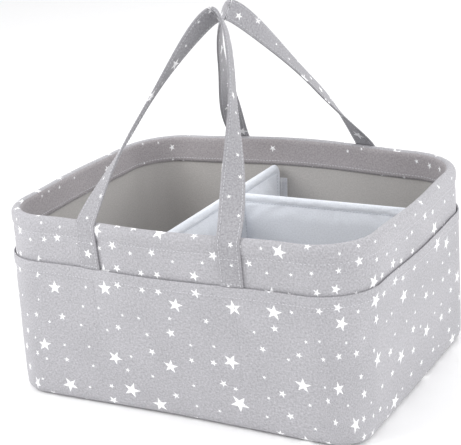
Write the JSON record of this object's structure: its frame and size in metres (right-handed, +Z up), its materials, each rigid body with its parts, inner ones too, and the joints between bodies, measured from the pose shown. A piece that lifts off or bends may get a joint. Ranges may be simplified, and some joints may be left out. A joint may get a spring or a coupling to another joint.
{
  "type": "diaper caddy",
  "caption": "Rectangular fabric caddy with padded walls, a wrap of outside pockets, strap handles that lean together over the middle and a removable padded divider.",
  "frame": {"origin": "middle of the underside, on the plane that it rests on", "axes": "+X along the long walls to the right, +Y towards the back long wall, +Z up"},
  "size_m": [0.3874, 0.315, 0.3648],
  "materials": {
    "canvas": "light grey cotton canvas with a white star print",
    "lining": "pale plain lining cloth",
    "foam": "stitched-in padding sheet",
    "board": "plain stiffening board",
    "tape": "pale hook and loop tape"
  },
  "bodies": {
    "caddy": {"outer_shell": "canvas", "pocket_wrap": "canvas", "base_panel": "canvas", "base_board": "board", "floor_lining": "lining", "wall_lining": "lining", "front_padding": "foam", "right_padding": "foam", "back_padding": "foam", "left_padding": "foam", "front_left_strap_end": "canvas", "front_right_strap_end": "canvas", "back_left_strap_end": "canvas", "back_right_strap_end": "canvas", "front_loop_tape": "tape", "back_loop_tape": "tape", "right_loop_tape": "tape"},
    "front_handle": {"front_handle_strap": "canvas"},
    "back_handle": {"back_handle_strap": "canvas"},
    "divider_insert": {"cross_divider_cover": "lining", "cross_divider_board": "foam", "cross_divider_binding": "lining", "front_hook_tape": "tape", "back_hook_tape": "tape", "divider_hinge_tape": "lining"},
    "long_divider": {"long_divider_cover": "lining", "long_divider_board": "foam", "long_divider_binding": "lining", "right_hook_tape": "tape"}
  },
  "joints": [
    {"name": "front_handle_fold", "type": "hinge", "parent": "caddy", "child": "front_handle", "pos_m": [0, -0.15412, 0.17117], "axis": [1, 0, 0], "range_deg": [0, 150]},
    {"name": "back_handle_fold", "type": "hinge", "parent": "caddy", "child": "back_handle", "pos_m": [0, 0.15412, 0.17117], "axis": [-1, 0, 0], "range_deg": [0, 150]},
    {"name": "insert_lift", "type": "slide", "parent": "caddy", "child": "divider_insert", "axis": [0, 0, 1], "range_m": [0, 0.11]},
    {"name": "long_divider_swing", "type": "hinge", "parent": "divider_insert", "child": "long_divider", "pos_m": [-0.0179, 0.038, 0], "axis": [0, 0, 1], "range_deg": [-20, 0]}
  ]
}
